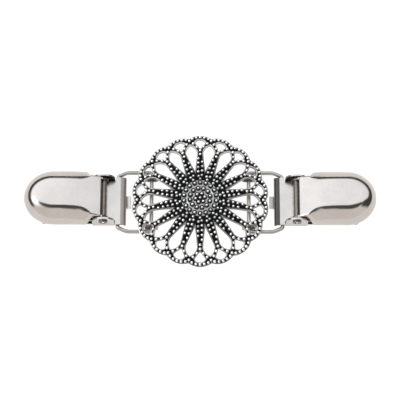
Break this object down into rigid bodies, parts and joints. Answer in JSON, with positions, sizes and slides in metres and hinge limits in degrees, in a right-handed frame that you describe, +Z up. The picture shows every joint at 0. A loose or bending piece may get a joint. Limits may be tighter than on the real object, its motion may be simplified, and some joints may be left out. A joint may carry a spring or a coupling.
{
  "type": "shawl clip",
  "caption": "Shawl clip: a pierced domed flower ornament joined by a wire ring on each side to a spring-jaw lever clip that grips the edge of a shawl or cardigan.",
  "frame": {"origin": "centre of the flower, on the surface that the clip lies on", "axes": "+X from the flower's centre towards the right clip, +Y across the clip, +Z up out of the flower's face"},
  "size_m": [0.1294, 0.051, 0.0135],
  "materials": {
    "antique_silver": "antique silver plated casting, dark patina between bright beads",
    "nickel_wire": "nickel plated drawn wire, satin",
    "nickel_sheet": "nickel plated pressed sheet, satin to bright",
    "nickel_pin": "nickel plated rivet",
    "polished_cover": "bright nickel plated pressed sheet, polished"
  },
  "bodies": {
    "ornament": {"flower": "antique_silver"},
    "left_ring": {"left_wire_ring": "nickel_wire"},
    "left_clip": {"left_clip_frame": "nickel_sheet", "left_pivot_pin": "nickel_pin"},
    "left_lever": {"left_lever_cover": "polished_cover"},
    "right_ring": {"right_wire_ring": "nickel_wire"},
    "right_clip": {"right_clip_frame": "nickel_sheet", "right_pivot_pin": "nickel_pin"},
    "right_lever": {"right_lever_cover": "polished_cover"}
  },
  "joints": [
    {"name": "left_ring_swing", "type": "hinge", "parent": "ornament", "child": "left_ring", "pos_m": [-0.018, 0, 0.0017], "axis": [0, 1, 0], "range_deg": [-60, 0]},
    {"name": "left_clip_swing", "type": "hinge", "parent": "left_ring", "child": "left_clip", "pos_m": [-0.03045, 0, 0.0017], "axis": [0, 1, 0], "range_deg": [-45, 45]},
    {"name": "left_lever_lift", "type": "hinge", "parent": "left_clip", "child": "left_lever", "pos_m": [-0.0356, 0, 0.0056], "axis": [0, 1, 0], "range_deg": [0, 75]},
    {"name": "right_ring_swing", "type": "hinge", "parent": "ornament", "child": "right_ring", "pos_m": [0.018, 0, 0.0017], "axis": [0, -1, 0], "range_deg": [-60, 0]},
    {"name": "right_clip_swing", "type": "hinge", "parent": "right_ring", "child": "right_clip", "pos_m": [0.03045, 0, 0.0017], "axis": [0, -1, 0], "range_deg": [-45, 45]},
    {"name": "right_lever_lift", "type": "hinge", "parent": "right_clip", "child": "right_lever", "pos_m": [0.0356, 0, 0.0056], "axis": [0, -1, 0], "range_deg": [0, 75]}
  ]
}
